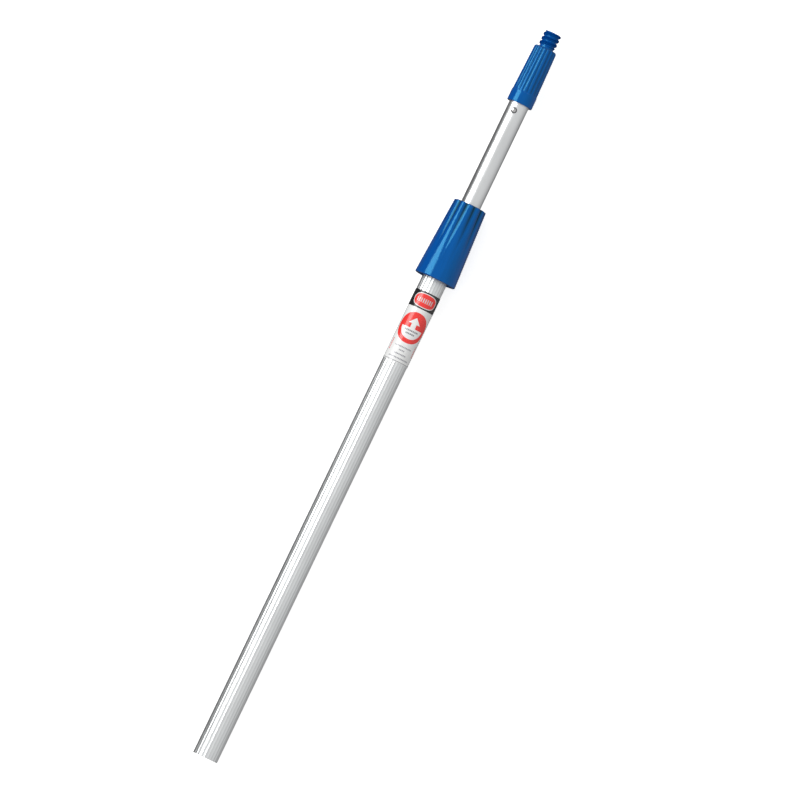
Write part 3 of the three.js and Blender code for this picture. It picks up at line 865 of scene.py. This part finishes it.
class POLE_OT_button(bpy.types.Operator):
    """Domed snap button, and the bent strip spring that pushes it out"""

    bl_idname = "pole.button"
    bl_label = "Button and Spring"

    def button(self, steel):
        radius, foot, top, dome = 3.175 * MM, 3.9 * MM, 13.7 * MM, 1.7 * MM
        outline = [(6.0 * MM, foot - 0.2 * MM), (6.15 * MM, foot)]
        outline += [(6.55 * MM, foot), (6.7 * MM, foot - 0.15 * MM)]
        outline += [(6.7 * MM, radius + 0.15 * MM), (6.85 * MM, radius)]
        for step in range(10):
            angle = step / 10 * math.pi / 2
            outline.append((top - dome + dome * math.sin(angle), radius * math.cos(angle)))
        outline.append((top, 0.05 * MM))
        piece = turned("domed_button", outline, 64)
        lay_out = Matrix.Rotation(-math.pi / 2, 4, "Y") @ Matrix.Translation((0.0, 0.0, -AXIS_HEIGHT))
        piece.matrix_world = radial_matrix(along(BUTTON_AT), BUTTON_TURN) @ lay_out
        settle(piece)
        smooth(piece)
        place_piece(piece, steel, "button", ["snap_button"])

    def spring(self, steel):
        start, bend = along(SPRING_START), along(SPRING_BEND)
        arm, back, width = 5.45 * MM, -6.75 * MM, 6.0 * MM
        bpy.ops.object.select_all(action="DESELECT")
        bpy.ops.mesh.primitive_plane_add(size=1.0, location=((start + bend) / 2, 0.0, arm))
        piece = bpy.context.object
        name_piece(piece, "spring_strip")
        piece.scale = (bend - start, width, 1.0)
        settle(piece)
        bpy.ops.object.mode_set(mode="EDIT")
        bpy.ops.mesh.select_mode(type="EDGE")
        bpy.ops.mesh.select_all(action="DESELECT")
        mesh = bmesh.from_edit_mesh(piece.data)
        for edge in mesh.edges:
            edge.select = all(abs(vertex.co.x - bend) < 1e-6 for vertex in edge.verts)
        mesh.select_flush_mode()
        bmesh.update_edit_mesh(piece.data)
        middle = (bend, 0.0, (arm + back) / 2)
        bpy.ops.mesh.spin(steps=20, angle=math.pi, center=middle, axis=(0.0, -1.0, 0.0))
        bpy.ops.mesh.extrude_region_move(TRANSFORM_OT_translate={"value": (start - bend, 0.0, 0.0)})
        finish_mesh(piece)
        if max(vertex.co.x for vertex in piece.data.vertices) < bend + (arm - back) / 2 - 0.1 * MM:
            raise RuntimeError("the spring's bend turned the wrong way")
        apply_modifier(piece, "SOLIDIFY", thickness=0.5 * MM, offset=0.0)
        apply_modifier(piece, "BEVEL", width=0.08 * MM, segments=2, limit_method="ANGLE")
        piece.matrix_world = radial_matrix(0.0, BUTTON_TURN)
        settle(piece)
        smooth(piece)
        place_piece(piece, steel, "inner", ["button_spring"])
        anchor = radial_matrix(start, BUTTON_TURN) @ Vector((0.0, 0.0, back))
        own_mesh(piece)

    def execute(self, context):
        colour = tuple(context.scene.pole_colours.steel)
        # the button gets painted shade round its foot, where it rises from the tube
        self.button(plated_steel("Plated button", colour, 0.16, (12.3 * MM, 13.3 * MM)))
        self.spring(plated_steel("Spring steel", tint(colour, 0.85), 0.32))
        return {"FINISHED"}


class POLE_OT_inner_works(bpy.types.Operator):
    """Finishes of the lock's sleeves, collet and wedge, and of the plug and glide at the foot"""

    bl_idname = "pole.inner_works"
    bl_label = "Lock and Glide"

    def execute(self, context):
        colours = context.scene.pole_colours
        natural = plain_plastic("Natural plastic", tuple(colours.natural), 0.42, 600.0)
        for name in ("thread_sleeve", "guide_sleeve", "collet", "wedge_ring", "glide_ring"):
            finish_node(name, natural)
        foot_plug = plain_plastic("Black foot plug", tuple(colours.black), 0.5, 700.0)
        finish_node("end_plug", foot_plug)
        steel = plated_steel("Steel pins", tuple(colours.steel), 0.3)
        for name in ("plug_pin", "sleeve_rivet_left", "sleeve_rivet_right"):
            finish_node(name, steel)
        return {"FINISHED"}


# --- stage ----------------------------------------------------------------------------------------
def key_light():
    """A soft strip along the pole, turned round it, that lights its tip end most."""
    data = bpy.data.lights.new("Key", "AREA")
    data.shape = "RECTANGLE"
    data.size, data.size_y = KEY_LENGTH, KEY_WIDTH
    data.energy = KEY_POWER
    lamp = bpy.data.objects.new("Key", data)
    bpy.context.scene.collection.objects.link(lamp)
    middle = (CAD_BOX[0].x + CAD_BOX[1].x) / 2
    centre = Matrix.Translation((middle + KEY_ALONG, 0.0, 0.0))
    lamp.matrix_world = centre @ radial_matrix(0.0, KEY_TURN, KEY_DISTANCE)
    lamp.visible_camera = False


def soft_world():
    """A pale room, brightest overhead and on the side away from the key light."""
    world = bpy.data.worlds.new("Studio")
    world.use_nodes = True
    tree = world.node_tree
    place = tree.nodes.new("ShaderNodeTexCoord")
    facing = tree.nodes.new("ShaderNodeVectorMath")
    facing.operation = "DOT_PRODUCT"
    facing.inputs[1].default_value = ROOM_BRIGHT_SIDE
    level = tree.nodes.new("ShaderNodeMapRange")
    tree.links.new(place.outputs["Generated"], facing.inputs[0])
    tree.links.new(facing.outputs["Value"], level.inputs[0])
    for socket, value in zip(level.inputs[1:], (-0.5, 0.9, ROOM_LOW, ROOM_HIGH)):
        socket.default_value = value
    tree.nodes["Background"].inputs["Color"].default_value = (1.0, 1.0, 1.0, 1.0)
    tree.links.new(level.outputs[0], tree.nodes["Background"].inputs["Strength"])
    bpy.context.scene.world = world


class POLE_OT_stage(bpy.types.Operator):
    """Pale light table, soft light and the camera"""

    bl_idname = "pole.stage"
    bl_label = "Stage"

    def execute(self, context):
        bpy.ops.object.select_all(action="DESELECT")
        bpy.ops.mesh.primitive_plane_add(size=60.0, location=(0.0, 0.0, -0.2 * MM))
        floor = bpy.context.object
        name_piece(floor, "floor")
        pale = Recipe("Pale floor", 0.9, 0.0, (0.85, 0.85, 0.85))
        pale.set("Emission Color", (1.0, 1.0, 1.0, 1.0))
        pale.set("Emission Strength", TABLE_GLOW)
        floor.data.materials.append(pale.material)
        floor.visible_glossy = False
        floor.visible_diffuse = False
        key_light()
        soft_world()
        self.camera(context)
        context.scene.view_settings.view_transform = "Standard"
        return {"FINISHED"}

    def camera(self, context):
        """Looks down on the pole from above its butt, with the pole leaning right of upright."""
        aim = Vector((BUTT + PICTURE_CENTRE[0] * MM, PICTURE_CENTRE[1] * MM, AXIS_HEIGHT))
        eye = Vector((BUTT, aim.y, AXIS_HEIGHT + CAMERA_DISTANCE))
        forward = (aim - eye).normalized()
        along_pole = Vector((1.0, 0.0, 0.0))
        along_pole = (along_pole - forward * forward.x).normalized()
        across = forward.cross(along_pole)
        up = along_pole * math.cos(PICTURE_LEAN) - across * math.sin(PICTURE_LEAN)
        right = across * math.cos(PICTURE_LEAN) + along_pole * math.sin(PICTURE_LEAN)
        data = bpy.data.cameras.new("Camera")
        data.sensor_width = 36.0
        data.lens = 36.0 * (aim - eye).length / PICTURE_WIDTH
        data.clip_start, data.clip_end = 0.1, 200.0
        camera = bpy.data.objects.new("Camera", data)
        context.scene.collection.objects.link(camera)
        camera.matrix_world = Matrix.Translation(eye) @ Matrix((right, up, -forward)).transposed().to_4x4()
        context.scene.camera = camera


OPERATORS = (
    POLE_OT_outer_tube, POLE_OT_butt_plug, POLE_OT_label, POLE_OT_lock_collar, POLE_OT_inner_tube,
    POLE_OT_tip, POLE_OT_button, POLE_OT_inner_works, POLE_OT_stage,
)


class POLE_PT_panel(bpy.types.Panel):
    """Lists the pole's pieces in the order they are built"""

    bl_idname = "POLE_PT_panel"
    bl_label = "Window Cleaning Pole"
    bl_space_type = "VIEW_3D"
    bl_region_type = "UI"
    bl_category = "Pole"

    def draw(self, context):
        for group in (context.scene.pole_sizes, context.scene.pole_colours):
            column = self.layout.column(align=True)
            for name in group.__annotations__:
                column.prop(group, name)
        column = self.layout.column(align=True)
        for operator in OPERATORS:
            column.operator(operator.bl_idname)


CLASSES = (PoleSizes, PoleColours, *OPERATORS, POLE_PT_panel)


def register():
    for cls in CLASSES:
        bpy.utils.register_class(cls)
    bpy.types.Scene.pole_sizes = bpy.props.PointerProperty(type=PoleSizes)
    bpy.types.Scene.pole_colours = bpy.props.PointerProperty(type=PoleColours)


def unregister():
    del bpy.types.Scene.pole_colours
    del bpy.types.Scene.pole_sizes
    for cls in reversed(CLASSES):
        bpy.utils.unregister_class(cls)


def main():
    register()
    bpy.ops.pole.outer_tube()
    bpy.ops.pole.butt_plug()
    bpy.ops.pole.label()
    bpy.ops.pole.lock_collar()
    bpy.ops.pole.inner_tube()
    bpy.ops.pole.tip()
    bpy.ops.pole.button()
    bpy.ops.pole.inner_works()
    bpy.ops.pole.stage()


if __name__ == "__main__":
    main()
